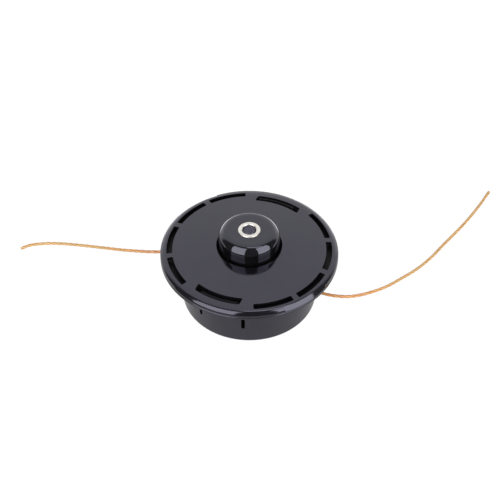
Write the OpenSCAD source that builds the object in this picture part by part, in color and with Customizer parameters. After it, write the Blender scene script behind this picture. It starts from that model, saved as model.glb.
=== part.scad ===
// Bump-feed trimmer head that carries two nylon cutting lines.
// It stands as it lies on a bench: drive side down, bump knob up. The origin is the middle of the
// drive face, Z is the shaft's axis and +Z points to the knob. All sizes are in millimetres.

/* [Head] */
// Height from the drive face to the cover's face at the vents
head_h = 46.5; // [45:0.5:60]
// Outside diameter of the cup
cup_d = 100.4; // [97:0.2:124]
// Width of the rim that stands out round the cup
rim_w = 14.8; // [14:0.1:22]

/* [Housing] */
// Wall of the cup
cup_wall = 2.4; // [1.8:0.1:3]
// Depth of the recess under the floor
under_h = 4; // [3:0.5:4]
// Thickness of the floor
floor_t = 3; // [2:0.5:4]
// Width of the standing ring round the underside
foot_w = 6; // [4:0.5:8]
// Round on the cup's lower edge
foot_round = 2.5; // [1:0.5:3.5]
// Number of ribs under the floor
floor_ribs = 12; // [6:1:16]
// Thickness of a rib under the floor
rib_t = 1.8; // [1.2:0.1:2.4]
// Thickness of the flange
flange_t = 1.6; // [1.2:0.1:2.4]
// Wall of the tube that the spool turns on
guide_wall = 1.6; // [1.2:0.1:2]

/* [Snap tongues] */
// Direction of the middle of the front tongue
tongue_a = 245.4; // [242:0.2:248]
// Angle from one slit of a tongue to the other
tongue_span = 39; // [36:0.2:41]
// Width of a slit in the cup's wall
slit_w = 2.6; // [2:0.1:3]
// Height of a slit's lower end over the drive face
slit_z = 15.5; // [12:0.5:24]
// Thickness of the hook at its root
hook_t = 2.6; // [2.2:0.1:3]
// Reach of the hook's nose
hook_nose = 1.8; // [1.2:0.1:2.2]
// Depth of the ledge that the nose catches
ledge_h = 1.7; // [1.4:0.1:1.8]

/* [Line eyelets] */
// Direction of the right-hand eyelet
eyelet_a = -22; // [-26:1:-16]
// Height of an eyelet's middle over the drive face
eyelet_z = 22; // [19:0.5:27]
// Bore of an eyelet
eyelet_bore = 5.2; // [4.6:0.1:6]
// Wall of an eyelet
eyelet_wall = 1.6; // [1.2:0.1:2]
// Width and thickness of an eyelet's outer lip
eyelet_lip = 1; // [0.8:0.1:1.4]
// How far an eyelet's boss stands out of the cup
boss_h = 2.2; // [1.5:0.1:3]

/* [Cover] */
// Thickness of the cover's plate
plate_t = 2.3; // [1.8:0.1:2.8]
// Thickness of the cover's skirt
skirt_t = 1.8; // [1.4:0.1:2.4]
// Depth of the skirt below the cover's face
skirt_h = 4.6; // [4:0.1:6]
// Height of the flange's own edge below the skirt
edge_h = 2.2; // [1.8:0.1:3]
// Rise of the cover's face from the vents to the collar
dome_h = 2.5; // [1:0.1:3]
// Drop of the cover's face from the vents to the rim's round
brim_drop = 0.7; // [0.3:0.1:0.9]
// Round on the rim
rim_round = 2.4; // [1.6:0.1:2.6]
// Width of a vent
vent_w = 4.3; // [3:0.1:4.6]
// Distance from the rim's edge to the vents
vent_edge = 4.6; // [4:0.1:6]
// Angle that a vent takes
vent_span = 28.2; // [24:0.2:29]
// Angle from one vent to the next
vent_step = 32.4; // [31:0.1:32.8]
// Corner radius of a vent
vent_round = 0.7; // [0.3:0.1:1.2]
// Width of the slanted part of a thumb pad
pad_w = 2.6; // [2:0.1:3]
// Angle that a thumb pad takes
pad_span = 32.8; // [24:0.2:36]

/* [Bump knob] */
// Diameter of the knob
knob_d = 44.4; // [38:0.2:54]
// Height of the knob over the cover's face at the vents
knob_rise = 17.9; // [15:0.1:22]
// Round on the knob's shoulder
knob_round = 7; // [4:0.2:8]
// Wall of the knob
knob_wall = 2.2; // [1.6:0.1:3]
// Height of the collar over the raised face round the knob
collar_h = 1; // [0.6:0.1:2]
// Wall of the collar
collar_t = 1.4; // [1:0.1:2.2]
// Gap between the knob and the collar
knob_gap = 0.4; // [0.35:0.05:0.8]
// How far the knob can be pressed in
bump = 8; // [6:0.5:9]

/* [Spool] */
// Thickness of a spool flange
spool_t = 1.8; // [1.4:0.1:2.4]
// Thickness of the divider between the two windings
divider_t = 1.4; // [1:0.1:2]
// Gap between the spool and the cup's wall
spool_gap = 1.8; // [1.4:0.1:3]
// Wall of the spool's core
core_wall = 3.1; // [2.4:0.1:4]
// Thickness of the web over the spool's bore
web_t = 4; // [3:0.5:5]
// Radial length of an index tooth
tooth_l = 7; // [5:0.5:8]
// Height of the upper index stops
stop_up_h = 5.4; // [4:0.1:6.4]
// Height of the lower index stops
stop_low_h = 3.6; // [3:0.1:4]
// Layers of line on the spool
layers = 6; // [3:1:7]

/* [Cutting line] */
// Diameter of the line
line_d = 2.4; // [2:0.1:3]

/* [Metal parts] */
// Bore of the drive insert, for an M10 x 1.25 left-hand thread
drive_bore = 8.75; // [8:0.05:10.5]
// Size of the drive insert across its flats
insert_af = 13; // [13:0.5:15]
// Length of the drive insert
insert_l = 19; // [14:0.5:20]
// Diameter of the centre bolt
bolt_d = 10; // [8:0.5:10]
// Size of the bolt's head across its flats
bolt_af = 16; // [15:0.5:16]
// Height of the bolt's head
bolt_head = 5; // [4:0.5:6]
// Wall of the steel sleeve in the knob
sleeve_wall = 3.1; // [2:0.1:4]
// Length of the steel sleeve in the knob
sleeve_l = 14.5; // [10:0.5:16]
// Thickness of the washers at the bolt's head and the spring's foot
washer_t = 1; // [0.8:0.1:1.5]
// Thickness of the thrust washer
thrust_t = 1.5; // [1:0.1:2]
// Wire of the bump spring
wire_d = 2; // [1.6:0.1:2.2]
// Turns of the bump spring
spring_turns = 7; // [5:0.5:8]

/* [Hidden] */
$fn = 96;

// Gaps between the pieces
fit = 0.1;        // a pin in its hole
run = 0.3;        // pieces that turn or slide past each other
clear = 0.4;      // teeth at the end of their stroke
snug = 0.2;       // loose fits of the cover on the housing

// Radii of the cup and the rim
cup_r = cup_d / 2;
cup_in = cup_r - cup_wall;
rim_r = cup_r + rim_w;
collar_in = knob_d / 2 + knob_gap;
collar_out = collar_in + collar_t;

// Levels of the cover and the flange
plate_z = head_h - plate_t;
skirt_z = head_h - skirt_h;
rim_z = head_h - brim_drop - rim_round;
middle_z = head_h + dome_h;
collar_z = middle_z + collar_h;
flange_z = skirt_z - edge_h;
floor_z = under_h + floor_t;

// Snap tongues: the hook stands in the latch slot of the cover and its nose lies over a ledge
slot_in = cup_r + 1;
slot_out = cup_r + 5.2;
hook_out = slot_out - clear;
hook_in = hook_out - hook_t;
hook_tip = hook_out + hook_nose;
ledge_out = hook_tip + snug;
slot_half = (cup_r + 4) * sin(tongue_span / 2 - 1);
free_out = hook_tip + 0.4;
hook_from = 6.6 - tongue_span / 2;     // directions of the hook's ends, from the tongue's middle
hook_to = tongue_span / 2 - 2.9;
turn_back = [0, 180];

// Vents and thumb pads are counted from the far side of the rim
vent_first = 92.8;
vent_out = rim_r - vent_edge;
vent_in = vent_out - vent_w;
pad_first = 112.6;
pad_proud = 0.3;
pad_r = rim_r - pad_w + pad_proud;

// The cover's face is a shallow cone inside dome_r and a steeper one outside it, down to the rim
dome_r = (vent_in + vent_out) / 2;
brim_lean = atan(brim_drop / (rim_r - rim_round - dome_r));
brim_r = rim_r - rim_round + rim_round * sin(brim_lean);
brim_z = rim_z + rim_round * cos(brim_lean);
function face_z(r) = head_h - (head_h - brim_z) * (r - dome_r) / (brim_r - dome_r);
function under_z(r) = plate_z + dome_h * max(0, dome_r - r) / (dome_r - collar_in);

// Hub, guide tube and spring, from the axis outwards
hub_wall = 3;
insert_r = insert_af / 2 / cos(30);
hub_r = insert_r + hub_wall;
hub_h = insert_l + 1.5;
spring_r = hub_r + 1.1 + wire_d / 2;
guide_in = spring_r + wire_d / 2 + 1.4;
guide_out = guide_in + guide_wall;
bore_r = guide_out + run;
core_r = bore_r + core_wall;

// Levels of the spool, from the cover down and from the floor up
flange_up_z = plate_z - stop_up_h - clear;
seat_z = flange_up_z + 1.6;
web_z = seat_z - web_t;
flange_low_z = floor_z + stop_low_h + clear + bump;
lug_low_z = floor_z + 0.6 + bump;
lug_up_z = plate_z - run;
chamber_z0 = flange_low_z + spool_t;
chamber_h = (flange_up_z - spool_t - chamber_z0 - divider_t) / 2;
chamber_z1 = chamber_z0 + chamber_h + divider_t;
spool_r = cup_in - spool_gap;
tooth_out = spool_r - 3;
tooth_in = tooth_out - tooth_l;
stop_half = 7.5;                       // half the angle of an index stop
lug_half = 6.5;                        // half the angle of a spool tooth
rows = floor(chamber_h / line_d);
winding_r = core_r + line_d + (layers - 1) * line_d * 0.94;

// Bolt, washers and spring hang under the spool's web
bolt_r = bolt_d / 2;
bolt_z = web_z - washer_t - bolt_head;
head_r = bolt_af / 2 / cos(30);
thrust_z = web_z - run - thrust_t;
thrust_in = head_r + 0.36;
spring_z0 = floor_z + washer_t;
spring_z1 = thrust_z - 0.2;
guide_h = thrust_z - bump - 2.2;
knob_top = head_h + knob_rise;
sleeve_in = bolt_r + fit;
sleeve_out = sleeve_in + sleeve_wall;
sleeve_z = knob_top + 0.2 - sleeve_l;

// Eyelets: the line lies on the lower lip of the bore
eyelet_body = eyelet_bore / 2 + eyelet_wall;
eyelet_in = cup_in - 0.6;
boss_out = cup_r + boss_h;
eyelet_out = boss_out + eyelet_lip;

// Routes of the two free lines, from inside their eyelets to the cut ends on the bench
route_right = [[43.9, -17.7, 20.8], [49.6, -20, 20.8], [55.5, -22.1, 20.7], [62, -23.5, 20.3],
    [72.7, -23.2, 19.1], [83, -19.6, 17.4], [93.5, -13.5, 15], [103.5, -6, 12.3], [115.8, 5.9, 8.5],
    [129, 19.3, 4.7], [142, 34.5, 2], [153.6, 49.5, 1.2], [164.5, 62.6, 1.2], [173.3, 73.6, 1.2],
    [181.8, 85.2, 1.2], [190, 97.2, 1.2], [199.7, 112.7, 1.2]];
route_left = [[-43.9, 17.7, 20.8], [-49.6, 20, 20.8], [-55.5, 21.5, 20.6], [-61.5, 22.2, 20.3],
    [-68, 22.8, 19.7], [-77.5, 24.3, 18.4], [-87.2, 26.9, 16.7], [-98.4, 30.5, 14.3],
    [-109.2, 34.7, 11.8], [-121.7, 39.7, 8.8], [-134.5, 44.5, 5.9], [-145.4, 48, 3.7],
    [-156.8, 50.3, 2.1], [-167.4, 50.4, 1.2], [-174.1, 48.9, 1.2], [-180, 45.3, 1.2]];
line_sides = 8;
ring_gap = 6;

// A part of a ring of rectangular section between two directions
module ring_part(r_in, r_out, z0, z1, a0, a1) {
    rotate([0, 0, a0]) rotate_extrude(angle = a1 - a0)
        translate([r_in, z0]) square([r_out - r_in, z1 - z0]);
}

// Six index teeth of half angle half, the first in direction first
module teeth(half, first, z0, z1) {
    for (k = [0:5]) ring_part(tooth_in, tooth_out, z0, z1, first + 60 * k - half, first + 60 * k + half);
}

// Flat rectangle between two corners of a revolved section
module bar(x0, y0, x1, y1) {
    translate([x0, y0]) square([x1 - x0, y1 - y0]);
}

// Concave quarter-round of radius r that fills the corner at x, y; sx and sy point out of it
module cove(x, y, r, sx, sy) {
    difference() {
        translate([sx > 0 ? x : x - r, sy > 0 ? y : y - r]) square(r);
        translate([x + sx * r, y + sy * r]) circle(r);
    }
}

// Unit vector, a point on the smooth curve through a route, and the evenly divided curve itself
function unit(v) = v / norm(v);
function bend(a, b, c, d, t) = 0.5 * ((2 * b) + (c - a) * t + (2 * a - 5 * b + 4 * c - d) * t * t
    + (3 * b - a - 3 * c + d) * t * t * t);
function curve(p) = let (n = len(p)) [for (i = [0:n - 2])
    let (m = max(1, round(norm(p[i + 1] - p[i]) / ring_gap)))
    for (k = [0:m - (i == n - 2 ? 0 : 1)])
        bend(p[max(i - 1, 0)], p[i], p[i + 1], p[min(i + 2, n - 1)], k / m)];

// One closed tube with flat ends along a path
module tube(path, r, sides) {
    n = len(path);
    points = [for (i = [0:n - 1])
        let (t = unit(path[min(i + 1, n - 1)] - path[max(i - 1, 0)]), s = unit(cross(t, [0, 0, 1])),
             u = cross(s, t))
        for (k = [0:sides - 1]) path[i] + r * (cos(360 * (k + 0.5) / sides) * s
            + sin(360 * (k + 0.5) / sides) * u)];
    walls = [for (i = [0:n - 2], k = [0:sides - 1]) let (a = i * sides + k, b = i * sides + (k + 1) % sides)
        each [[a, a + sides, b], [b, a + sides, b + sides]]];
    polyhedron(points, concat([[for (k = [0:sides - 1]) k]], walls,
        [[for (k = [0:sides - 1]) n * sides - 1 - k]]));
}

// Moulded cup with the flange, the guide tube, the hub and the two snap tongues
module housing_section() {
    difference() {
        union() {
            bar(cup_in, 0, cup_r, plate_z - snug);
            bar(cup_r - foot_w, 0, cup_r, under_h + 1);
            bar(hub_r - hub_wall, under_h, cup_r, floor_z);
            bar(0, 0, hub_r, hub_h);
            bar(guide_in, floor_z - 1, guide_out, guide_h);
            bar(cup_in, flange_z, rim_r, flange_z + flange_t);
            bar(rim_r - skirt_t, flange_z, rim_r, skirt_z);
            bar(rim_r - skirt_t - snug - 1.6, flange_z, rim_r - skirt_t - snug, skirt_z + 1.4);
            cove(cup_r, flange_z, 2, 1, -1);
            cove(cup_in, floor_z, 1.5, -1, 1);
            cove(hub_r, floor_z, 0.8, 1, 1);
        }
        // rounded lower edge of the cup, softened edges of the rim
        cove(cup_r, 0, foot_round, -1, 1);
        translate([rim_r, skirt_z]) rotate(45) square(0.5, center = true);
        translate([rim_r, flange_z]) rotate(45) square(0.7, center = true);
        translate([cup_r - foot_w, 0]) rotate(45) square(0.8, center = true);
    }
}

module snap_cuts() {
    edge = tongue_span / 2 + 1.4;
    for (b = turn_back) rotate([0, 0, b + tongue_a]) {
        for (s = [-1, 1]) {
            rotate([0, 0, s * tongue_span / 2]) {
                translate([cup_in - 2, -slit_w / 2, slit_z])
                    cube([cup_wall + 2.6, slit_w, head_h - slit_z]);
                translate([cup_in - 2, 0, slit_z]) rotate([0, 90, 0])
                    cylinder(d = slit_w, h = cup_wall + 3);
            }
            rotate([0, 0, s * edge]) translate([cup_in + 1, -0.45, flange_z - 3])
                cube([free_out + 0.8 - cup_in - 1, 0.9, 8]);
        }
        ring_part(free_out, free_out + 0.8, flange_z - 1, head_h, -edge, edge);
    }
}

module snap_hooks() {
    nose_z = head_h - ledge_h + 0.1;
    for (b = turn_back) rotate([0, 0, b + tongue_a]) {
        rotate([0, 0, hook_from]) rotate_extrude(angle = hook_to - hook_from)
            polygon([[hook_in, flange_z + 1], [hook_out, flange_z + 1], [hook_out, nose_z],
                [hook_tip, nose_z], [hook_tip, nose_z + 0.5], [hook_out - 0.6, head_h - snug],
                [hook_out - 1, head_h - snug - 0.2], [hook_in, flange_z + 2.2]]);
        for (k = [0:3]) rotate([0, 0, hook_from + 3 + k * (hook_to - hook_from - 6) / 3]) hook_rib();
    }
}

// Small rib between the flange and the inner side of a hook
module hook_rib() {
    translate([0, 0.6, 0]) rotate([90, 0, 0]) linear_extrude(1.2)
        polygon([[hook_in - 1.4, flange_z + 1], [hook_in + 1, flange_z + 1], [hook_in + 1, head_h - 3.4],
            [hook_in - 0.2, head_h - 3.8]]);
}

module eyelet_places() {
    for (b = turn_back) rotate([0, 0, b + eyelet_a])
        translate([0, 0, eyelet_z]) rotate([0, 90, 0]) children();
}

module housing() {
    color([0.13, 0.13, 0.14]) difference() {
        union() {
            rotate_extrude() housing_section();
            for (k = [0:floor_ribs - 1]) rotate([0, 0, (k + 0.5) * 360 / floor_ribs])
                translate([hub_r - 0.5, -rib_t / 2, 0.8])
                    cube([cup_r - foot_w - hub_r + 1, rib_t, under_h]);
            teeth(stop_half, 30, floor_z - 0.5, floor_z + stop_low_h);
            eyelet_places() translate([0, 0, cup_in + 0.6])
                cylinder(r = eyelet_body + 2, h = boss_out - cup_in - 0.6);
            snap_hooks();
        }
        // pocket of the drive insert and the hole over it
        translate([0, 0, -1]) cylinder(r = insert_r + 0.7 + 0.02, h = 1 + 1.6);
        translate([0, 0, 1]) cylinder(r = insert_r + 0.02, h = insert_l - 1, $fn = 6);
        cylinder(r = bolt_r + 0.3, h = hub_h + 1);
        snap_cuts();
        eyelet_places() translate([0, 0, cup_in - 3])
            cylinder(r = eyelet_body + 0.02, h = boss_h + cup_wall + 6);
    }
}

// Snap-on cover: raised plate, rounded rim with its skirt, collar, vents, latch slots and the upper stops
module cover_section() {
    difference() {
        union() {
            polygon(concat([[collar_in, under_z(collar_in)], [dome_r, plate_z], [rim_r - skirt_t, plate_z],
                [rim_r - skirt_t, skirt_z], [rim_r, skirt_z]],
                [for (k = [0:12]) let (a = 90 - (90 - brim_lean) * k / 12)
                    [rim_r - rim_round + rim_round * sin(a), rim_z + rim_round * cos(a)]],
                [[dome_r, head_h], [collar_out, middle_z], [collar_out, collar_z],
                [collar_in, collar_z - 1.2 * collar_t]]));
            bar(collar_in, plate_z - 2.4, collar_in + 2.4, middle_z - 1);
            cove(collar_in + 2.4, under_z(collar_in), 1.5, 1, -1);
        }
        translate([rim_r, skirt_z]) rotate(45) square(0.5, center = true);
    }
}

// Outline of a curved slot between two radii and two directions, its corners rounded off by c
function polar(r, a) = [r * cos(a), r * sin(a)];
function slot_end(r0, r1, a, s, c) =
    let (d0 = s * c / r0 * 180 / PI, d1 = s * c / r1 * 180 / PI, q = c * sign(r1 - r0))
    [polar(r0, a - d0), polar(r0 + 0.3 * q, a - 0.3 * d0), polar(r0 + q, a),
     polar(r1 - q, a), polar(r1 - 0.3 * q, a - 0.3 * d1), polar(r1, a - d1)];
function slot_outline(r0, r1, a0, a1, c, n = 14) = concat(
    [for (k = [1:n - 1]) polar(r0, a0 + (a1 - a0) * k / n)], slot_end(r0, r1, a1, 1, c),
    [for (k = [1:n - 1]) polar(r1, a1 - (a1 - a0) * k / n)], slot_end(r1, r0, a0, -1, c));

// Outline of a latch slot between two radii, its ends h from the middle, its corners rounded off by c
function latch_outline(r0, r1, h, c, n = 12) =
    let (x0 = sqrt(r0 * r0 - h * h), x1 = sqrt(r1 * r1 - h * h), g = h - c)
    concat([for (k = [0:n]) let (y = g * (2 * k / n - 1)) [sqrt(r0 * r0 - y * y), y]],
        [[x0 + 0.2 * c, h - 0.3 * c], [x0 + c, h], [x1 - c, h], [x1 - 0.2 * c, h - 0.3 * c]],
        [for (k = [0:n]) let (y = g * (1 - 2 * k / n)) [sqrt(r1 * r1 - y * y), y]],
        [[x1 - 0.2 * c, 0.3 * c - h], [x1 - c, -h], [x0 + c, -h], [x0 + 0.2 * c, 0.3 * c - h]]);

module vent(a0, a1) {
    translate([0, 0, plate_z - 1]) linear_extrude(plate_t + 2)
        polygon(slot_outline(vent_in, vent_out, a0, a1, vent_round));
}

// Slanted thumb pad in place of the rim's round
module pad_profile() {
    polygon([[pad_r - 0.6, plate_z + 0.3], [pad_r - 0.6, face_z(pad_r) - 0.4], [pad_r, face_z(pad_r)],
        [rim_r + pad_proud, rim_z], [rim_r + pad_proud, skirt_z + 0.4], [rim_r - 1, skirt_z + 0.4],
        [rim_r - skirt_t, skirt_z + 0.8], [rim_r - skirt_t, plate_z + 0.3]]);
}

module cover() {
    color([0.16, 0.16, 0.17]) union() {
        difference() {
            union() {
                rotate_extrude() cover_section();
                teeth(stop_half, 0, plate_z - stop_up_h, under_z(tooth_in) + 0.5);
                for (b = turn_back) rotate([0, 0, b + tongue_a])
                    ring_part(slot_in - 0.5, ledge_out + 1.2, plate_z - 0.9, under_z(slot_in) + 0.3,
                        -tongue_span / 2 - 1, tongue_span / 2 + 1);
            }
            for (b = turn_back) rotate([0, 0, b]) {
                for (k = [0:3]) vent(vent_first + k * vent_step, vent_first + k * vent_step + vent_span);
                ring_part(pad_r, rim_r + 1, rim_z, head_h + 1, pad_first, pad_first + pad_span);
                rotate([0, 0, tongue_a]) {
                    translate([0, 0, plate_z - 2]) linear_extrude(plate_t + 3)
                        polygon(latch_outline(slot_in + 0.3, slot_out, slot_half - 0.3, 0.8));
                    translate([0, 0, head_h - ledge_h]) linear_extrude(ledge_h + 1)
                        polygon(latch_outline(slot_in, ledge_out, slot_half, 1.2));
                }
            }
        }
        for (b = turn_back) rotate([0, 0, b + pad_first]) rotate_extrude(angle = pad_span) pad_profile();
    }
}

// Steel insert in the hub; its bore takes the drive shaft's thread
module drive_insert() {
    color([0.62, 0.62, 0.6]) difference() {
        union() {
            cylinder(r = insert_r + 0.7, h = 1.6);
            cylinder(r = insert_r, h = insert_l, $fn = 6);
        }
        translate([0, 0, -1]) cylinder(d = drive_bore, h = insert_l + 2);
        translate([0, 0, -0.01]) cylinder(r1 = drive_bore / 2 + 0.8, r2 = drive_bore / 2, h = 0.8);
    }
}

// Turned steel eyelet with flared lips, pushed into its boss from outside
module eyelet() {
    b = eyelet_bore / 2;
    color([0.7, 0.7, 0.68]) rotate([0, 0, eyelet_a]) translate([0, 0, eyelet_z]) rotate([0, 90, 0])
        rotate_extrude() difference() {
            union() {
                bar(b, eyelet_in, eyelet_body, eyelet_out);
                bar(b, boss_out, eyelet_body + eyelet_lip, eyelet_out);
            }
            translate([b, eyelet_in]) rotate(45) square(1.1, center = true);
            translate([b, eyelet_out]) rotate(45) square(1.1, center = true);
            translate([eyelet_body + eyelet_lip, eyelet_out]) rotate(45) square(0.6, center = true);
        }
}
module eyelet_right() { eyelet(); }
module eyelet_left() { rotate([0, 0, 180]) eyelet(); }

// Moulded spool with two line chambers, a web under the knob and index teeth on both flanges
module spool() {
    color([0.2, 0.2, 0.21]) difference() {
        union() {
            rotate_extrude() difference() {
                union() {
                    bar(bore_r, flange_low_z, core_r, seat_z);
                    bar(bore_r, flange_low_z, spool_r, flange_low_z + spool_t);
                    bar(core_r - 1, chamber_z0 + chamber_h, spool_r - 2, chamber_z1);
                    bar(bore_r, flange_up_z - spool_t, spool_r, flange_up_z);
                    bar(0, web_z, bore_r + 1, seat_z);
                    bar(core_r - 1, flange_up_z, max(core_r, knob_d / 2), seat_z);
                }
                for (z = [flange_low_z, flange_low_z + spool_t, flange_up_z - spool_t, flange_up_z])
                    translate([spool_r, z]) rotate(45) square(0.7, center = true);
                translate([bore_r, flange_low_z]) rotate(45) square(1, center = true);
            }
            teeth(lug_half, 15, lug_low_z, flange_low_z + 0.5);
            teeth(lug_half, 15, flange_up_z - 0.5, lug_up_z);
        }
        translate([0, 0, web_z - 1]) cylinder(r = bolt_r + fit, h = web_t + 2);
        // notch for the middle of the line and two parking slots for its ends
        rotate([0, 0, 45]) translate([spool_r - 7, -line_d * 0.6, chamber_z0 + chamber_h - 1])
            cube([9, line_d * 1.2, divider_t + 2]);
        for (b = turn_back) rotate([0, 0, b + 45])
            translate([spool_r - 2.6, -line_d * 0.5, flange_up_z - spool_t - 1])
                cube([4, line_d, spool_t + 2]);
    }
}

// One winding, its outer layer shown as the turns that lie side by side
module winding(z0) {
    pitch = (chamber_h - 0.1) / rows;
    rotate_extrude() union() {
        bar(core_r + 0.02, z0 + 0.05, winding_r - pitch / 2, z0 + 0.05 + rows * pitch);
        for (k = [0:rows - 1]) translate([winding_r - pitch / 2, z0 + 0.05 + (k + 0.5) * pitch])
            circle(r = pitch / 2 - 0.01, $fn = 32);
    }
}
module winding_lower() { color([0.93, 0.6, 0.34]) winding(chamber_z0); }
module winding_upper() { color([0.93, 0.6, 0.34]) winding(chamber_z1); }

// Hollow bump knob that stands on the spool, with a boss for the steel sleeve
module knob() {
    r = knob_d / 2;
    boss = sleeve_out + 2.3;
    color([0.1, 0.1, 0.11]) difference() {
        union() {
            rotate_extrude() difference() {
                union() {
                    bar(0, seat_z, r, knob_top - knob_round);
                    bar(0, knob_top - knob_round - 1, r - knob_round, knob_top);
                    intersection() {
                        translate([r - knob_round, knob_top - knob_round]) circle(knob_round);
                        bar(r - knob_round, knob_top - knob_round, r, knob_top);
                    }
                }
                difference() {
                    bar(boss, seat_z - 1, r - knob_wall, knob_top - 2.5);
                    cove(r - knob_wall, knob_top - 2.5, max(knob_round - knob_wall, 1), -1, -1);
                }
                translate([r, seat_z]) rotate(45) square(0.6, center = true);
            }
            for (k = [0:5]) rotate([0, 0, 60 * k]) translate([0, 0.8, 0]) rotate([90, 0, 0])
                linear_extrude(1.6) polygon([[boss - 0.5, seat_z + 5], [r - knob_wall + 0.5, seat_z + 5],
                    [r - knob_wall + 0.5, knob_top - knob_round], [r - knob_round - 1, knob_top - 1],
                    [boss - 0.5, knob_top - 1]]);
        }
        translate([0, 0, seat_z - 1]) cylinder(r = bolt_r + fit, h = knob_top);
        translate([0, 0, sleeve_z]) cylinder(r = sleeve_out + 0.02, h = sleeve_l + 1);
    }
}

// Steel sleeve that the knob wears on and that the bolt screws into
module knob_sleeve() {
    top = sleeve_z + sleeve_l;
    color([0.93, 0.91, 0.87]) rotate_extrude()
        polygon([[sleeve_in + 0.3, sleeve_z], [sleeve_out - 0.3, sleeve_z],
            [sleeve_out, sleeve_z + 0.3], [sleeve_out, top - 0.4], [sleeve_out - 0.4, top],
            [sleeve_in + 0.4, top], [sleeve_in, top - 0.4], [sleeve_in, sleeve_z + 0.3]]);
}

// Blackened bolt with its head under the spool's web
module centre_bolt() {
    color([0.1, 0.1, 0.1]) union() {
        intersection() {
            translate([0, 0, bolt_z]) cylinder(r = head_r, h = bolt_head, $fn = 6);
            translate([0, 0, bolt_z])
                cylinder(r1 = bolt_af / 2 - 0.2, r2 = bolt_af / 2 - 0.2 + bolt_head * 1.6, h = bolt_head);
        }
        translate([0, 0, web_z - washer_t - 0.5])
            cylinder(r = bolt_r, h = knob_top - 1.1 - web_z + washer_t + 0.5);
        translate([0, 0, knob_top - 1.1]) cylinder(r1 = bolt_r, r2 = bolt_r - 0.8, h = 0.8);
    }
}

module washer(r_in, r_out, z, t) {
    c = 0.25;
    rotate_extrude() polygon([[r_in + c, z], [r_out - c, z], [r_out, z + c], [r_out, z + t - c],
        [r_out - c, z + t], [r_in + c, z + t], [r_in, z + t - c], [r_in, z + c]]);
}
module bolt_washer() {
    color([0.75, 0.75, 0.73]) washer(bolt_r + fit, head_r - 0.04, web_z - washer_t, washer_t);
}
module thrust_washer() {
    color([0.75, 0.75, 0.73]) washer(thrust_in, bore_r - 0.7, thrust_z, thrust_t);
}
module spring_seat() {
    color([0.75, 0.75, 0.73]) washer(hub_r + 0.9, guide_in - 0.3, floor_z, washer_t);
}

// Compression spring with closed end turns
module bump_spring() {
    steps = 20;
    close = wire_d * 1.05;
    open = (spring_z1 - spring_z0 - wire_d - 2 * close) / (spring_turns - 2);
    color([0.5, 0.5, 0.5]) tube([for (i = [0:spring_turns * steps]) let (t = i / steps)
        [spring_r * cos(360 * t), spring_r * sin(360 * t), spring_z0 + wire_d / 2
            + close * min(t, 1) + open * max(0, min(t, spring_turns - 1) - 1)
            + close * max(0, t - spring_turns + 1)]], wire_d / 2, 8);
}

// Free ends of the cutting line, laid on the bench
module line_left() { color([0.93, 0.63, 0.38]) tube(curve(route_left), line_d / 2, line_sides); }
module line_right() { color([0.93, 0.63, 0.38]) tube(curve(route_right), line_d / 2, line_sides); }

housing();
cover();
drive_insert();
eyelet_left();
eyelet_right();
spool();
winding_lower();
winding_upper();
knob();
knob_sleeve();
centre_bolt();
bolt_washer();
thrust_washer();
bump_spring();
spring_seat();
line_left();
line_right();
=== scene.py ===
from math import cos, pi, radians, sin

import bpy
from mathutils import Matrix, Vector


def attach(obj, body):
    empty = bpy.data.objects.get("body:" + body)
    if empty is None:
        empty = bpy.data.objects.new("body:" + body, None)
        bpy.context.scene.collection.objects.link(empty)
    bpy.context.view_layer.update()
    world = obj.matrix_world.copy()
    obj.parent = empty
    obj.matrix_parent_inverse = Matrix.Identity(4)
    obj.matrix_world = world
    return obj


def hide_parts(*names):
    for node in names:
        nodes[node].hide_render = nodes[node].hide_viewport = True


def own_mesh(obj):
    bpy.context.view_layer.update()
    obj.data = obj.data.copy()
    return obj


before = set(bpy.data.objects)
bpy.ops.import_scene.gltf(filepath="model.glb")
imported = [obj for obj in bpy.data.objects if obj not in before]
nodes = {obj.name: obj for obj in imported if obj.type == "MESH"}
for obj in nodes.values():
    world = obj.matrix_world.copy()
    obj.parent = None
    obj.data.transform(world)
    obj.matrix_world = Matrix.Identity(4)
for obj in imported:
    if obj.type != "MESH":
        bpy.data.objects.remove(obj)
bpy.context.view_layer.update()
bpy.ops.object.select_all(action="DESELECT")

# Camera: it stands in front of the head and looks down at it at 44 degrees, as the photo does.
# The lens fills the square picture with the head in the middle and both lines to their cut ends.
scene = bpy.context.scene
scene.view_settings.view_transform = "Standard"
bpy.ops.object.camera_add(
    location=(0.000517, -0.555386, 0.588465), rotation=(radians(45.57), 0, 0)
)
camera = bpy.context.object
camera.name = "camera"
camera.data.lens = 76.68
camera.data.sensor_width = 36
camera.data.dof.use_dof = False
scene.camera = camera

# Cutting line: translucent orange nylon monofilament, 2.4 mm thick. It is drawn with four soft edges
# and twisted as it sets, one turn in 19.6 mm, and each free end leaves an eyelet and lies on the bench.
# Near the head it is a deeper orange.
LINE_RADIUS = 0.0012
LINE_EDGES = 4
EDGE_DEPTH = 0.055
LINE_TWIST = 0.0196
DEEP_ORANGE_ENDS = (0.035, 0.075)
DEEP_ORANGE_TINT = (1, 0.76, 0.66, 1)
WHITE = (1, 1, 1, 1)
right_route = [
    (43.9, -17.7, 20.8), (49.6, -20, 20.8), (55.5, -22.1, 20.7), (62, -23.5, 20.3),
    (72.7, -23.2, 19.1), (83, -19.6, 17.4), (93.5, -13.5, 15), (103.5, -6, 12.3),
    (115.8, 5.9, 8.5), (129, 19.3, 4.7), (142, 34.5, 2), (153.6, 49.5, 1.2),
    (164.5, 62.6, 1.2), (173.3, 73.6, 1.2), (181.8, 85.2, 1.2), (190, 97.2, 1.2),
    (199.7, 112.7, 1.2),
]  # fmt: skip
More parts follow.
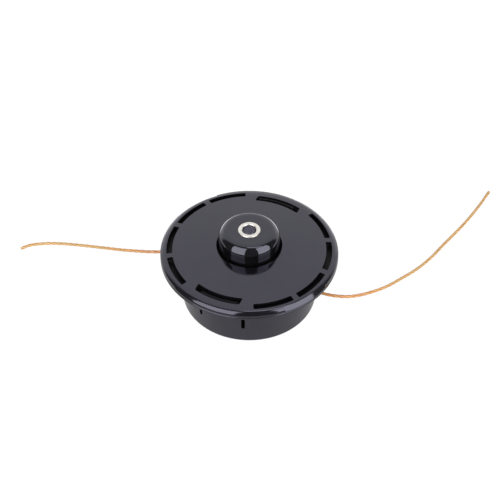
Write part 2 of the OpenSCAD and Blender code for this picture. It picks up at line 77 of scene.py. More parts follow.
left_route = [
    (-43.9, 17.7, 20.8), (-49.6, 20, 20.8), (-55.5, 21.5, 20.6), (-61.5, 22.2, 20.3),
    (-68, 22.8, 19.7), (-77.5, 24.3, 18.4), (-87.2, 26.9, 16.7), (-98.4, 30.5, 14.3),
    (-109.2, 34.7, 11.8), (-121.7, 39.7, 8.8), (-134.5, 44.5, 5.9), (-145.4, 48, 3.7),
    (-156.8, 50.3, 2.1), (-167.4, 50.4, 1.2), (-174.1, 48.9, 1.2), (-180, 45.3, 1.2),
]  # fmt: skip


def smooth_route(millimetres, step=0.0009):
    """The smooth curve through a route's points, in metres, with a point every step or so."""
    p = [Vector(v) * 0.001 for v in millimetres]
    way = []
    for i in range(len(p) - 1):
        a, b, c, d = p[max(i - 1, 0)], p[i], p[i + 1], p[min(i + 2, len(p) - 1)]
        count = max(1, round((c - b).length / step))
        for k in range(count + (i == len(p) - 2)):
            t = k / count
            way.append(
                0.5 * (2 * b + (c - a) * t + (2 * a - 5 * b + 4 * c - d) * t**2
                       + (3 * b - a - 3 * c + d) * t**3)
            )  # fmt: skip
    return way


def twisted_line(name, way, radius=LINE_RADIUS, sides=16):
    """Sweeps the line's section along a way, turning as it goes. Its UV is metres along, turns round."""
    points, faces, uvs = [], [], []
    run = 0.0
    side = None
    for i, p in enumerate(way):
        before = run
        run += (p - way[i - 1]).length if i else 0.0
        ahead = (way[min(i + 1, len(way) - 1)] - way[max(i - 1, 0)]).normalized()
        side = ahead.orthogonal() if side is None else side - ahead * side.dot(ahead)
        side.normalize()
        over = ahead.cross(side)
        for k in range(sides):
            a = 2 * pi * k / sides
            r = radius * (1 - EDGE_DEPTH + EDGE_DEPTH * cos(LINE_EDGES * a))
            turn = a + 2 * pi * run / LINE_TWIST
            points.append(p + side * (r * cos(turn)) + over * (r * sin(turn)))
        if i == 0:
            continue
        first = (i - 1) * sides
        for k in range(sides):
            n = (k + 1) % sides
            faces.append((first + k, first + n, first + sides + n, first + sides + k))
            low, high = k / sides, (k + 1) / sides
            uvs += [(before, low), (before, high), (run, high), (run, low)]
    faces.append(tuple(range(sides - 1, -1, -1)))
    faces.append(tuple(range(len(points) - sides, len(points))))
    uvs += [(0.0, 0.5)] * sides + [(run, 0.5)] * sides
    mesh = bpy.data.meshes.new(name)
    mesh.from_pydata(points, [], faces)
    layer = mesh.uv_layers.new(name="along")
    for loop, uv in zip(layer.data, uvs):
        loop.uv = uv
    mesh.polygons.foreach_set("use_smooth", [len(f.vertices) == 4 for f in mesh.polygons])
    line = bpy.data.objects.new(name, mesh)
    scene.collection.objects.link(line)
    return line, run


def shader_of(finish):
    """A finish's Principled shader."""
    return finish.node_tree.nodes["Principled BSDF"]


def new_finish(name, **sockets):
    """A new material of one Principled shader, with its constants on the shader's own sockets."""
    finish = bpy.data.materials.new(name)
    finish.use_nodes = True
    for socket, value in sockets.items():
        shader_of(finish).inputs[socket.replace("_", " ")].default_value = value
    return finish


def feed(owner, socket, value):
    """Gives an input a number or a colour, or links it to another node's output."""
    if isinstance(value, bpy.types.NodeSocket):
        owner.node_tree.links.new(value, socket)
    else:
        socket.default_value = value


def add_node(owner, kind, **settings):
    """A node in a finish or the world. A setting that names an input feeds it; others are the node's own."""
    made = owner.node_tree.nodes.new(kind)
    for key, value in settings.items():
        socket = made.inputs.get(key.replace("_", " "))
        if socket is None:
            setattr(made, key, value)
        else:
            feed(owner, socket, value)
    return made


def reckon(owner, operation, *values):
    """What a Math node makes of its values, each a number or another node's output."""
    made = add_node(owner, "ShaderNodeMath", operation=operation)
    for socket, value in zip(made.inputs, values):
        feed(owner, socket, value)
    return made.outputs[0]


def fade(owner, value, low, high, first=0, last=1):
    """Goes from first to last as value goes from low to high; low may be the larger of the two."""
    return add_node(
        owner, "ShaderNodeMapRange",
        Value=value, From_Min=low, From_Max=high, To_Min=first, To_Max=last,
    ).outputs[0]  # fmt: skip


def mix_colors(finish, factor, first, second, blend_type="MIX"):
    """A mix of two colours, each red, green, blue and 1, or another node's output."""
    made = add_node(finish, "ShaderNodeMix", data_type="RGBA", blend_type=blend_type, Factor=factor)
    feed(finish, made.inputs[6], first)
    feed(finish, made.inputs[7], second)
    return made.outputs[2]


def grain(finish, scale, detail=2.0):
    """Noise that sits on the object, scale in grains per metre."""
    place = add_node(finish, "ShaderNodeTexCoord").outputs["Object"]
    return add_node(finish, "ShaderNodeTexNoise", Vector=place, Scale=scale, Detail=detail).outputs["Fac"]


def vary_color(finish, factor, first, second, low=0.35, high=0.65):
    """The base colour goes from first to second as factor goes from low to high."""
    ramp = add_node(finish, "ShaderNodeValToRGB", Fac=factor)
    for end, position, color in zip(ramp.color_ramp.elements, (low, high), (first, second)):
        end.position = position
        end.color = (*color, 1)
    feed(finish, shader_of(finish).inputs["Base Color"], ramp.outputs[0])


def vary_roughness(finish, factor, smooth, rough):
    """The roughness goes from smooth to rough over the middle of the factor's range."""
    feed(finish, shader_of(finish).inputs["Roughness"], fade(finish, factor, 0.3, 0.7, smooth, rough))


def emboss(finish, height, depth, strength=1.0):
    """Turns a height between 0 and 1 into relief of that depth in metres."""
    relief = add_node(finish, "ShaderNodeBump", Height=height, Strength=strength, Distance=depth)
    feed(finish, shader_of(finish).inputs["Normal"], relief.outputs[0])


line_nylon = new_finish(
    "line_nylon", Subsurface_Weight=0.3, Subsurface_Scale=0.0012, Subsurface_Radius=(1.0, 0.6, 0.3)
)
line_map = add_node(line_nylon, "ShaderNodeUVMap", uv_map="along").outputs[0]
line_place = add_node(line_nylon, "ShaderNodeSeparateXYZ", Vector=line_map).outputs
# The line is painted lighter along its four edges and darker in the grooves between them: painted highlight
# and shade that follow the twist.
edge_angle = reckon(line_nylon, "MULTIPLY", line_place["Y"], 2 * pi * LINE_EDGES)
edges = fade(line_nylon, reckon(line_nylon, "COSINE", edge_angle), -1, 1)
vary_color(line_nylon, edges, (0.72, 0.37, 0.115), (1.0, 0.64, 0.275), 0.15, 0.85)
deep_run = fade(line_nylon, line_place["X"], *DEEP_ORANGE_ENDS)
deeper = mix_colors(line_nylon, deep_run, DEEP_ORANGE_TINT, WHITE)
line_color = shader_of(line_nylon).inputs["Base Color"]
plain_orange = line_color.links[0].from_socket
feed(line_nylon, line_color, mix_colors(line_nylon, 1, plain_orange, deeper, "MULTIPLY"))
vary_roughness(line_nylon, grain(line_nylon, 700), 0.25, 0.38)
emboss(line_nylon, grain(line_nylon, 2500), 0.00002, 0.5)

for name, route in (("line_right", right_route), ("line_left", left_route)):
    way = smooth_route(route)
    line, length = twisted_line("cutting_" + name, way)
    line.data.materials.append(line_nylon)
    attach(line, "housing_body")
    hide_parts(name)

# Bench: a white sweep of card under the head. The camera and reflections see it near white, the
# head's soft shadow stays on it, and from below it is clear, so that the drive side can be seen.
CARD_WHITE = (0.88, 0.88, 0.88, 1)
CARD_GLOW_SHARE = 0.75
CARD_GLOW_REFLECTED, CARD_GLOW_SEEN = 1.06, 1.22


def blank_finish(name):
    """A new material with only its output."""
    finish = bpy.data.materials.new(name)
    finish.use_nodes = True
    finish.node_tree.nodes.remove(shader_of(finish))
    return finish


def show(finish, shader):
    """Makes a shader the finish's surface."""
    feed(finish, finish.node_tree.nodes["Material Output"].inputs["Surface"], shader)


def mix_shaders(finish, factor, first, second):
    """The first shader where the factor is 0 and the second where it is 1."""
    made = add_node(finish, "ShaderNodeMixShader", Fac=factor)
    feed(finish, made.inputs[1], first)
    feed(finish, made.inputs[2], second)
    return made.outputs[0]


def seen_directly(owner):
    """1 for rays from the camera, a reflection or through glass, and 0 for light on a rough surface."""
    rays = add_node(owner, "ShaderNodeLightPath").outputs
    seen_or_reflected = reckon(owner, "MAXIMUM", rays["Is Camera Ray"], rays["Is Glossy Ray"])
    return reckon(owner, "MAXIMUM", seen_or_reflected, rays["Is Transmission Ray"])


bpy.ops.mesh.primitive_plane_add(size=6, location=(0, 0, -0.0001))
bench = bpy.context.object
bench.name = "bench"
bench_card = blank_finish("bench_card")
matt = add_node(bench_card, "ShaderNodeBsdfDiffuse", Color=CARD_WHITE).outputs[0]
camera_rays = add_node(bench_card, "ShaderNodeLightPath").outputs["Is Camera Ray"]
strength = fade(bench_card, camera_rays, 0, 1, CARD_GLOW_REFLECTED, CARD_GLOW_SEEN)
glow = add_node(bench_card, "ShaderNodeEmission", Color=WHITE, Strength=strength).outputs[0]
glow_share = reckon(bench_card, "MULTIPLY", seen_directly(bench_card), CARD_GLOW_SHARE)
upper_side = mix_shaders(bench_card, glow_share, matt, glow)
underneath = add_node(bench_card, "ShaderNodeNewGeometry").outputs["Backfacing"]
clear = add_node(bench_card, "ShaderNodeBsdfTransparent").outputs[0]
show(bench_card, mix_shaders(bench_card, underneath, upper_side, clear))
bench.data.materials.append(bench_card)

# Studio: a white room with a dark front, and two tall softboxes that lean over the head from the front
# left and right. The dark front, a shaded floor round the head and the bright sheets behind it, over
# it and on the floor show only in what is polished.
ROOM_LIGHT, ROOM_SEEN = 0.3, 1.0
world = bpy.data.worlds.new("studio")
scene.world = world
world.use_nodes = True
background = world.node_tree.nodes["Background"].inputs
feed(world, background["Color"], WHITE)
feed(world, background["Strength"], fade(world, seen_directly(world), 0, 1, ROOM_LIGHT, ROOM_SEEN))


def glossy_only(panel):
    """A thing of the studio that is seen in reflections and nowhere else."""
    panel.visible_camera = False
    panel.visible_diffuse = False
    panel.visible_transmission = False
    panel.visible_shadow = False
    panel.visible_volume_scatter = False


def even_glow(name, strength):
    """Paper that glows evenly; at a strength of 1 it is white."""
    paper = blank_finish(name)
    show(paper, add_node(paper, "ShaderNodeEmission", Color=WHITE, Strength=strength).outputs[0])
    return paper


WINDOW_BEHIND = 0.01
WINDOW_CORNER = 0.55


def softbox(name, low, high, along, width, watts, strength):
    """A lamp, with its bright window just behind it, from the middle of its lower edge to the upper's."""
    low, high = Vector(low), Vector(high)
    up = (high - low).normalized()
    across = Vector(along)
    across = (across - up * across.dot(up)).normalized()
    out = across.cross(up)
    if out.dot(low + high) < 0:
        across, out = -across, -out
    turn = Matrix((across, up, out)).transposed().to_4x4()
    middle = (low + high) / 2
    height = (high - low).length
    bpy.ops.object.light_add(type="AREA")
    lamp = bpy.context.object
    lamp.name = name
    lamp.data.shape = "RECTANGLE"
    lamp.data.size, lamp.data.size_y = width, height
    lamp.data.energy = watts
    lamp.matrix_world = Matrix.Translation(middle) @ turn
    lamp.visible_glossy = False
    bpy.ops.mesh.primitive_plane_add(size=1)
    window = bpy.context.object
    window.name = name + "_face"
    window.matrix_world = (
        Matrix.Translation(middle + out * WINDOW_BEHIND) @ turn @ Matrix.Diagonal((width, height, 1, 1))
    )
    # The upper corner on the side away from the head is drawn in, to WINDOW_CORNER of its distance.
    upper = [v for v in window.data.vertices if v.co.y > 0]
    max(upper, key=lambda v: abs((window.matrix_world @ v.co).x)).co.x *= WINDOW_CORNER
    window.data.materials.append(even_glow(name + "_paper", strength))
    glossy_only(window)


softbox("softbox_left", (-0.4, -0.49, 0.002), (-0.3, -0.13, 0.8), (-0.87, 0.45, 0), 0.52, 2.2, 3.0)
softbox("softbox_right", (0.507, -0.397, 0.002), (0.385, -0.1, 0.8), (0.77, 0.64, 0), 0.5, 2.2, 3.2)

# The dark front is the front part of a dome. Its edge lies DARK_EDGE behind the head and runs further
# back on each side, at DARK_SPREAD. It fades from dark to white over DARK_FADE, measured the same way.
DARK_RADIUS = 2
DARK_SPREAD = 0.42
DARK_EDGE = 0.35
DARK_FADE = (-0.25, 0.2)
DARK_GLOW = 0.13
bpy.ops.mesh.primitive_uv_sphere_add(segments=96, ring_count=48, radius=DARK_RADIUS)
dark_side = bpy.context.object
dark_side.name = "dark_side"
bpy.ops.object.mode_set(mode="EDIT")
bpy.ops.mesh.select_mode(type="FACE")
bpy.ops.mesh.select_all(action="DESELECT")
bpy.ops.object.mode_set(mode="OBJECT")
for face in dark_side.data.polygons:
    behind = face.center.y > DARK_SPREAD * abs(face.center.x) + DARK_EDGE
    face.select = face.center.z < 0 or behind
bpy.ops.object.mode_set(mode="EDIT")
bpy.ops.mesh.delete(type="FACE")
bpy.ops.mesh.select_mode(type="VERT")
bpy.ops.object.mode_set(mode="OBJECT")
fading_wall = even_glow("fading_wall", DARK_GLOW)
wall_place = add_node(fading_wall, "ShaderNodeTexCoord").outputs["Object"]
wall_split = add_node(fading_wall, "ShaderNodeSeparateXYZ", Vector=wall_place).outputs
aside = reckon(fading_wall, "ABSOLUTE", wall_split["X"])
backwards = reckon(fading_wall, "MULTIPLY_ADD", aside, -DARK_SPREAD, wall_split["Y"])
wall_glow = fade(fading_wall, backwards, *DARK_FADE, DARK_GLOW, 1)
feed(fading_wall, fading_wall.node_tree.nodes["Emission"].inputs["Strength"], wall_glow)
dark_side.data.materials.append(fading_wall)
glossy_only(dark_side)

# Each ring of floor: its inner and outer radius, how far back it reaches, and its glow.
FLOOR_HEIGHT = 0.0005
for name, inner, outer, back, strength in (
    # shaded_floor is painted shade: a dimmer ring round the head that stands in for its shade on the bench,
    # seen only in reflections.
    ("shaded_floor", 0.0512, 0.118, 1, 0.66),
    ("dark_floor", 0.118, DARK_RADIUS, -0.03, DARK_GLOW),
):
    bpy.ops.object.select_all(action="DESELECT")
    bpy.ops.mesh.primitive_circle_add(
        vertices=96, radius=inner, fill_type="NOTHING", location=(0, 0, FLOOR_HEIGHT)
    )
    floor = bpy.context.object
    floor.name = name
    bpy.ops.object.mode_set(mode="EDIT")
    bpy.ops.mesh.select_all(action="SELECT")
    bpy.ops.mesh.extrude_region_move()
    bpy.ops.transform.resize(
        value=(outer / inner, outer / inner, 1), center_override=(0, 0, FLOOR_HEIGHT)
    )
    bpy.ops.mesh.select_all(action="SELECT")
    bpy.ops.mesh.bisect(plane_co=(0, back, 0), plane_no=(0, 1, 0), clear_outer=True, use_fill=False)
    bpy.ops.object.mode_set(mode="OBJECT")
    floor.data.materials.append(even_glow(name + "_paper", strength))
    glossy_only(floor)


def bright_sheet(name, place, turn, size, strength):
    """A flat sheet of glowing paper."""
    bpy.ops.mesh.primitive_plane_add(size=1, location=place, rotation=turn)
    sheet = bpy.context.object
    sheet.name = name
    sheet.scale = (*size, 1)
    sheet.data.materials.append(even_glow(name + "_paper", strength))
    glossy_only(sheet)


# Each sheet: its degrees to the side, distance and height, its tilt, its size and its glow.
for name, degrees, distance, height, tilt, size, strength in (
    ("strip_left", -36, 0.9, 0.24, 90, (0.42, 0.38), 1.3),
    ("strip_right", 36, 0.9, 0.24, 90, (0.42, 0.38), 1.3),
    ("floor_light_left", -28, 0.42, 0.001, 0, (0.16, 0.44), 3.3),
    ("floor_light_right", 28, 0.42, 0.001, 0, (0.16, 0.44), 3.3),
):
    angle = radians(degrees)
    place = (distance * sin(angle), distance * cos(angle), height)
    bright_sheet(name, place, (radians(tilt), 0, -angle), size, strength)
bright_sheet("top_strip", (0.19, -0.05, 1.0), (0, 0, radians(-6)), (0.5, 0.12), 3.2)

# Housing: the cup with its wide flange and two snap tongues, moulded in one piece of black nylon.
# Its outside has the fine satin of the mould. Under the cover's slots the flange's top and the hooks
# are rougher and carry painted shade: their reflection is tinted nearly black.
SHEEN = (0.82, 0.8, 1.0, 1)
# The next tint is painted shade: it takes nearly all the reflection out of what lies in the slots.
SLOT_SHADE_TINT = (0.08, 0.08, 0.08, 1)
DULL_ROUGHNESS = 0.45
# Each pair is where a fade starts and ends: by height over the drive face, and by distance from the axis.
FLANGE_TOP = (0.04, 0.0404)
SLOTS_END = (0.062, 0.0616)


def place_on_head(finish):
    """How far a point is from the head's axis, and its height over the drive face, in metres."""
    place = add_node(finish, "ShaderNodeTexCoord").outputs["Object"]
    flat = add_node(finish, "ShaderNodeMapping", Vector=place, Scale=(1, 1, 0)).outputs[0]
    away = add_node(finish, "ShaderNodeVectorMath", operation="LENGTH", Vector=flat).outputs["Value"]
    return away, add_node(finish, "ShaderNodeSeparateXYZ", Vector=place).outputs["Z"]


def paint_slot_shade(finish, mask):
    """Where the mask is 1, the surface is rougher, with painted shade: its reflection is tinted nearly
    black.
    """
    shader = shader_of(finish).inputs
    polished = shader["Roughness"].links[0].from_socket
    mixed = add_node(finish, "ShaderNodeMix", Factor=mask, A=polished, B=DULL_ROUGHNESS)
    feed(finish, shader["Roughness"], mixed.outputs[0])
    feed(finish, shader["Specular Tint"], mix_colors(finish, mask, SHEEN, SLOT_SHADE_TINT))


def dress(name, finish):
    """Gives a CAD piece its finish."""
    piece = nodes[name]
    piece.data.materials.clear()
    piece.data.materials.append(finish)


housing_nylon = new_finish("housing_nylon", IOR=1.72)
vary_color(housing_nylon, grain(housing_nylon, 90), (0.005, 0.005, 0.007), (0.009, 0.009, 0.011))
vary_roughness(housing_nylon, grain(housing_nylon, 260), 0.17, 0.24)
away, height = place_on_head(housing_nylon)
on_top = fade(housing_nylon, height, *FLANGE_TOP)
among_slots = fade(housing_nylon, away, *SLOTS_END)
# Painted shade on the flange's top and the hooks, seen through the cover's slots.
paint_slot_shade(housing_nylon, reckon(housing_nylon, "MULTIPLY", on_top, among_slots))
emboss(housing_nylon, grain(housing_nylon, 1800, 3), 0.00002, 0.4)
dress("housing", housing_nylon)

# Cover: the snap-on disc, moulded in black nylon in a polished mould, so the softboxes show in its rim.
# The tongues' hooks hold it. Its face falls gently from the collar to FACE_BREAK and faster from there
# to the rim, and what lies below the face, such as the slots' walls, is rougher and has painted shade.
FACE_BREAK, FACE_SLOPE, BRIM_SLOPE = 0.05825, 0.0730, 0.1735
BELOW_FACE = (0.0464, 0.0462)
cover_nylon = new_finish("cover_nylon", IOR=1.75)
vary_color(cover_nylon, grain(cover_nylon, 70), (0.004, 0.004, 0.006), (0.008, 0.008, 0.01))
vary_roughness(cover_nylon, grain(cover_nylon, 200), 0.08, 0.13)
away, height = place_on_head(cover_nylon)
outward = reckon(cover_nylon, "SUBTRACT", away, FACE_BREAK)
falls = [reckon(cover_nylon, "MULTIPLY", outward, slope) for slope in (FACE_SLOPE, BRIM_SLOPE)]
levelled = reckon(cover_nylon, "ADD", height, reckon(cover_nylon, "MAXIMUM", *falls))
below = fade(cover_nylon, levelled, *BELOW_FACE)
among_slots = fade(cover_nylon, away, *SLOTS_END)
# Painted shade on the slots' walls and all else below the face among the slots: their reflection is tinted
# nearly black.
paint_slot_shade(cover_nylon, reckon(cover_nylon, "MULTIPLY", below, among_slots))
emboss(cover_nylon, grain(cover_nylon, 900, 3), 0.00001, 0.3)

# The rim's edge turns over more softly than its mesh. The added slope grows from nothing at ROLL_START
# to ROLL_SLOPE at ROLL_MIDDLE, and is gone again at ROLL_END.
ROLL_START, ROLL_MIDDLE, ROLL_END = 0.0607, 0.0629, 0.0646
ROLL_SLOPE = 0.33
growing = fade(cover_nylon, away, ROLL_START, ROLL_MIDDLE)
going = fade(cover_nylon, away, ROLL_MIDDLE, ROLL_END)
first_fall = -ROLL_SLOPE * (ROLL_MIDDLE - ROLL_START) / 2
last_fall = -ROLL_SLOPE * (ROLL_END - ROLL_MIDDLE) / 2
first_part = reckon(cover_nylon, "MULTIPLY", reckon(cover_nylon, "MULTIPLY", growing, growing), first_fall)
last_part = reckon(cover_nylon, "MULTIPLY", reckon(cover_nylon, "SUBTRACT", 2, going), going)
roll = reckon(cover_nylon, "MULTIPLY_ADD", last_part, last_fall, first_part)
cover_normal = shader_of(cover_nylon).inputs["Normal"]
rolled = add_node(
    cover_nylon, "ShaderNodeBump",
    Height=roll, Normal=cover_normal.links[0].from_socket, Strength=1.0, Distance=1.0,
)  # fmt: skip
feed(cover_nylon, cover_normal, rolled.outputs[0])
dress("cover", cover_nylon)

# Bump knob: hollow, of black nylon polished like a button, pressed over the steel sleeve. It is what
# the head is tapped on the ground with.
knob_nylon = new_finish("knob_nylon", IOR=1.75, Specular_Tint=(0.815, 0.81, 1, 1))
vary_color(knob_nylon, grain(knob_nylon, 80), (0.003, 0.003, 0.003), (0.006, 0.006, 0.006))
vary_roughness(knob_nylon, grain(knob_nylon, 220), 0.03, 0.07)
emboss(knob_nylon, grain(knob_nylon, 500), 0.000004, 0.3)
dress("knob", knob_nylon)

# Sleeve: turned from bright steel bar; its face stands a little proud of the knob and wears first.
# The tool's fine rings run round its face.


def ring_lines(finish, per_metre):
    """Fine rings about the head's axis, as a lathe leaves them, from 0 to 1."""
    away, height = place_on_head(finish)
    turns = reckon(finish, "MULTIPLY", away, 2 * pi * per_metre)
    return reckon(finish, "MULTIPLY_ADD", reckon(finish, "SINE", turns), 0.5, 0.5)


sleeve_steel = new_finish("sleeve_steel", Metallic=1.0)
vary_color(sleeve_steel, grain(sleeve_steel, 500), (0.73, 0.71, 0.665), (0.82, 0.79, 0.74))
vary_roughness(sleeve_steel, grain(sleeve_steel, 900), 0.32, 0.44)
emboss(sleeve_steel, ring_lines(sleeve_steel, 4000), 0.000002, 0.3)
dress("knob_sleeve", sleeve_steel)

# Centre bolt: a blackened hexagon bolt from under the spool's web up into the sleeve, with a washer.
# Its end shows in the ring.
bolt_steel = new_finish("bolt_steel", Metallic=1.0)
vary_color(bolt_steel, grain(bolt_steel, 600), (0.07, 0.068, 0.088), (0.1, 0.098, 0.125))
vary_roughness(bolt_steel, grain(bolt_steel, 1500), 0.25, 0.4)
emboss(bolt_steel, ring_lines(bolt_steel, 2500), 0.00001, 0.2)
dress("centre_bolt", bolt_steel)

# Washers: punched from sheet steel and zinc-plated. One lies under the bolt's head, one between the
# spring and the spool's web, and one under the spring's foot.
washer_steel = new_finish("washer_steel", Metallic=1.0)
vary_color(washer_steel, grain(washer_steel, 400), (0.5, 0.5, 0.5), (0.68, 0.67, 0.63))
vary_roughness(washer_steel, grain(washer_steel, 1200), 0.28, 0.45)
emboss(washer_steel, grain(washer_steel, 3000), 0.00001, 0.4)
for name in ("bolt_washer", "thrust_washer", "spring_seat"):
    dress(name, washer_steel)

# Spool: moulded dark nylon with two line chambers, straight from a plain mould, so duller than the cover.
# It turns on the guide tube and is held by the knob's bolt.
spool_nylon = new_finish("spool_nylon")
vary_color(spool_nylon, grain(spool_nylon, 120), (0.016, 0.016, 0.018), (0.028, 0.028, 0.031))
vary_roughness(spool_nylon, grain(spool_nylon, 400), 0.32, 0.46)
emboss(spool_nylon, grain(spool_nylon, 2200, 3), 0.00003, 0.4)
dress("spool", spool_nylon)

# Windings: the same line wound on by hand, six layers of three turns in each chamber. Each turn lies
# beside the last and crosses over to the next in a short step.
WOUND_RADIUS = 0.00118
FIRST_LAYER, LAYER_RISE = 0.021206, 0.002256
TURN_WIDTH = 0.002367
OVER_FLOOR = 0.00005
WINDING_STEP = 0.0014
CROSSING = 0.1
START_ANGLE = 0.8


def winding_way(floor, layers=6, rows=3):
    """The line's path on the spool over a chamber's floor, layer on layer."""
    turns = []
    for layer in range(layers):
        heights = [floor + OVER_FLOOR + (row + 0.5) * TURN_WIDTH for row in range(rows)]
        if layer % 2 == 1:
            heights.reverse()
        turns += [(FIRST_LAYER + LAYER_RISE * layer, height) for height in heights]
    way = []
    for i, (r, z) in enumerate(turns):
        next_r, next_z = turns[min(i + 1, len(turns) - 1)]
        count = round(2 * pi * r / WINDING_STEP)
        for k in range(count + (i == len(turns) - 1)):
            t = k / count
            s = min(max((t - 1 + CROSSING) / CROSSING, 0), 1)
            s = s * s * (3 - 2 * s)
            angle = 2 * pi * t + START_ANGLE
            radius = r + (next_r - r) * s
            way.append(Vector((radius * cos(angle), radius * sin(angle), z + (next_z - z) * s)))
    return way


for name, floor in (("winding_lower", 0.0208), ("winding_upper", 0.0294)):
    coil = twisted_line("wound_" + name, winding_way(floor), WOUND_RADIUS, 12)[0]
    coil.data.materials.append(line_nylon)
    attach(coil, "spool_body")
    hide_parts(name)

# Bump spring: drawn steel wire, seven turns, with closed end turns ground flat. It stands on its seat
# washer round the hub and pushes the spool up.
SPRING_RADIUS, WIRE_RADIUS = 0.012606, 0.001
SPRING_LOW, SPRING_HIGH = 0.008, 0.0338
SPRING_LENGTH = SPRING_HIGH - SPRING_LOW
OPEN_TURNS = 5
CLOSED_RISE = 0.0021
OPEN_RISE = (SPRING_LENGTH - 2 * WIRE_RADIUS - 2 * CLOSED_RISE) / OPEN_TURNS
GROUND_OFF = 0.0005


def wind(piece, angle, rise, turns, steps):
    """Sweeps a piece that was just made round the head's axis, by an angle and a rise for each turn."""
    screw = piece.modifiers.new("wind", "SCREW")
    screw.axis = "Z"
    screw.angle = angle
    screw.screw_offset = rise
    screw.iterations = turns
    screw.steps = screw.render_steps = steps
    bpy.ops.object.modifier_apply(modifier="wind")


def trim_flat(height, way_out):
    """In edit mode, cuts off all beyond a height, upwards for 1 and downwards for -1, and closes the cut."""
    bpy.ops.mesh.select_all(action="SELECT")
    bpy.ops.mesh.bisect(
        plane_co=(0, 0, height), plane_no=(0, 0, way_out), clear_outer=True, use_fill=True
    )


sections = []
wire_low = SPRING_LOW + WIRE_RADIUS
for turns, rise, z in (
    (1, CLOSED_RISE, wire_low),
    (OPEN_TURNS, OPEN_RISE, wire_low + CLOSED_RISE),
    (1, CLOSED_RISE, wire_low + CLOSED_RISE + OPEN_TURNS * OPEN_RISE),
):
    bpy.ops.object.select_all(action="DESELECT")
    bpy.ops.mesh.primitive_circle_add(
        vertices=16, radius=WIRE_RADIUS, location=(SPRING_RADIUS, 0, z), rotation=(radians(90), 0, 0)
    )
    section = bpy.context.object
    bpy.ops.object.transform_apply(location=True, rotation=True, scale=True)
    wind(section, 2 * pi, rise, turns, 48)
    sections.append(section)
bpy.ops.object.select_all(action="DESELECT")
for section in sections:
    section.select_set(True)
bpy.context.view_layer.objects.active = sections[0]
bpy.ops.object.join()
spring = bpy.context.object
spring.name = "wound_bump_spring"
bpy.ops.object.mode_set(mode="EDIT")
bpy.ops.mesh.select_all(action="SELECT")
bpy.ops.mesh.remove_doubles(threshold=0.00002)
bpy.ops.mesh.select_all(action="DESELECT")
bpy.ops.mesh.select_non_manifold()
bpy.ops.mesh.edge_face_add()
bpy.ops.mesh.select_all(action="SELECT")
bpy.ops.mesh.normals_make_consistent(inside=False)
trim_flat(SPRING_LOW + GROUND_OFF, -1)
trim_flat(SPRING_HIGH - GROUND_OFF, 1)
bpy.ops.mesh.select_all(action="SELECT")
bpy.ops.transform.resize(
    value=(1, 1, SPRING_LENGTH / (SPRING_LENGTH - 2 * GROUND_OFF)),
    center_override=(0, 0, (SPRING_LOW + SPRING_HIGH) / 2),
)
bpy.ops.object.mode_set(mode="OBJECT")
bpy.ops.object.shade_smooth_by_angle(angle=radians(50))
bpy.ops.object.transform_apply(location=True, rotation=True, scale=True)
spring_steel = new_finish("spring_steel", Metallic=1.0)
vary_color(spring_steel, grain(spring_steel, 500), (0.28, 0.28, 0.29), (0.42, 0.42, 0.42))
vary_roughness(spring_steel, grain(spring_steel, 1500), 0.25, 0.4)
emboss(spring_steel, grain(spring_steel, 3500), 0.00001, 0.4)
spring.data.materials.clear()
spring.data.materials.append(spring_steel)
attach(spring, "housing_body")
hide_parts("bump_spring")
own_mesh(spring)  # fmt: skip

# Eyelets: turned from steel bar and pushed into their bosses, one at each side of the cup.
# The running line polishes their lips.
eyelet_steel = new_finish("eyelet_steel", Metallic=1.0)
vary_color(eyelet_steel, grain(eyelet_steel, 500), (0.55, 0.55, 0.53), (0.68, 0.67, 0.64))
vary_roughness(eyelet_steel, grain(eyelet_steel, 1500), 0.15, 0.3)
emboss(eyelet_steel, grain(eyelet_steel, 3000), 0.00001, 0.3)
dress("eyelet_left", eyelet_steel)
dress("eyelet_right", eyelet_steel)

# Drive insert: zinc-plated steel, hexagonal outside so that it can't turn in the hub, with a collar at
# the drive face. The left-hand M10 x 1.25 thread for the shaft's stud is cut down its bore with a tap.
INSERT_FLATS, INSERT_LENGTH = 0.013, 0.019
INSERT_CORNER = INSERT_FLATS / 2 / cos(radians(30))
COLLAR_RADIUS, COLLAR_HEIGHT = INSERT_CORNER + 0.0007, 0.0016
THREAD_CREST, THREAD_ROOT, THREAD_PITCH = 0.004375, 0.00505, 0.00125
THREAD_DEPTH = THREAD_ROOT - THREAD_CREST
LEAD_IN = 0.0008


def closed_cone(vertices, low_radius, high_radius, low, high, turned=0.0):
    """A closed cone or cylinder about the head's axis, between two heights."""
    bpy.ops.object.select_all(action="DESELECT")
    bpy.ops.mesh.primitive_cone_add(
        vertices=vertices, radius1=low_radius, radius2=high_radius, depth=high - low,
        location=(0, 0, (low + high) / 2), rotation=(0, 0, turned),
    )  # fmt: skip
    bpy.ops.object.transform_apply(location=True, rotation=True, scale=True)
    return bpy.context.object


def combine(piece, tool, operation):
    """Joins a closed tool to a piece, or cuts the piece with it, and clears the tool away."""
    bpy.ops.object.select_all(action="DESELECT")
    piece.select_set(True)
    bpy.context.view_layer.objects.active = piece
    change = piece.modifiers.new("change", "BOOLEAN")
    change.operation = operation
    change.solver = "EXACT"
    change.object = tool
    bpy.ops.object.modifier_apply(modifier="change")
    bpy.data.objects.remove(tool)


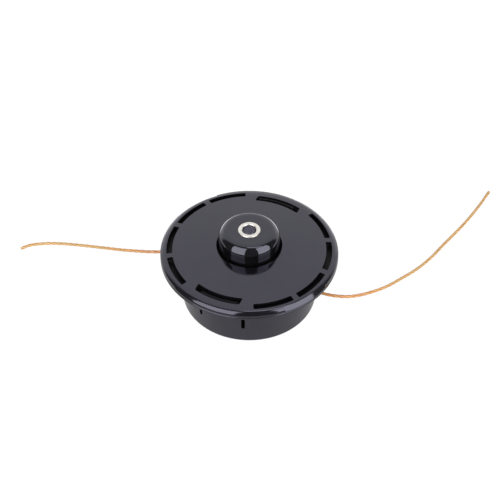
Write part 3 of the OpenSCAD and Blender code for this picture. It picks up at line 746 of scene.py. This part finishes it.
insert = closed_cone(6, INSERT_CORNER, INSERT_CORNER, COLLAR_HEIGHT / 2, INSERT_LENGTH, radians(30))
insert.name = "threaded_drive_insert"
combine(insert, closed_cone(96, COLLAR_RADIUS, COLLAR_RADIUS, 0, COLLAR_HEIGHT), "UNION")

bpy.ops.object.select_all(action="DESELECT")
bpy.ops.mesh.primitive_plane_add(size=0.001)
tap = bpy.context.object
bpy.ops.object.mode_set(mode="EDIT")
bpy.ops.mesh.merge(type="CENTER")
bpy.ops.transform.translate(value=(THREAD_CREST, 0, -2 * THREAD_PITCH))
# Each step of the thread's outline: how far out it goes, and how far up in pitches.
for out, pitches in ((0, 0.22), (THREAD_DEPTH, 0.33), (0, 0.12), (-THREAD_DEPTH, 0.33)):
    step = (out, 0, pitches * THREAD_PITCH)
    bpy.ops.mesh.extrude_region_move(TRANSFORM_OT_translate={"value": step})
bpy.ops.object.mode_set(mode="OBJECT")
wind(tap, -2 * pi, THREAD_PITCH, round(INSERT_LENGTH / THREAD_PITCH) + 4, 36)
bpy.ops.object.mode_set(mode="EDIT")
bpy.ops.mesh.select_all(action="SELECT")
bpy.ops.mesh.remove_doubles(threshold=0.000002)
trim_flat(-0.5 * THREAD_PITCH, -1)
trim_flat(INSERT_LENGTH + 0.5 * THREAD_PITCH, 1)
bpy.ops.mesh.select_all(action="SELECT")
bpy.ops.mesh.normals_make_consistent(inside=False)
bpy.ops.object.mode_set(mode="OBJECT")
bpy.ops.object.transform_apply(location=True, rotation=True, scale=True)
combine(insert, tap, "DIFFERENCE")
combine(insert, closed_cone(96, THREAD_CREST + 2 * LEAD_IN, THREAD_CREST, -LEAD_IN, LEAD_IN), "DIFFERENCE")
bpy.ops.object.shade_smooth_by_angle(angle=radians(30))
insert_steel = new_finish("insert_steel", Metallic=1.0)
vary_color(insert_steel, grain(insert_steel, 300), (0.5, 0.5, 0.48), (0.66, 0.64, 0.58))
vary_roughness(insert_steel, grain(insert_steel, 1200), 0.22, 0.38)
emboss(insert_steel, ring_lines(insert_steel, 3000), 0.00001, 0.3)
insert.data.materials.clear()
insert.data.materials.append(insert_steel)
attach(insert, "housing_body")
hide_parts("drive_insert")
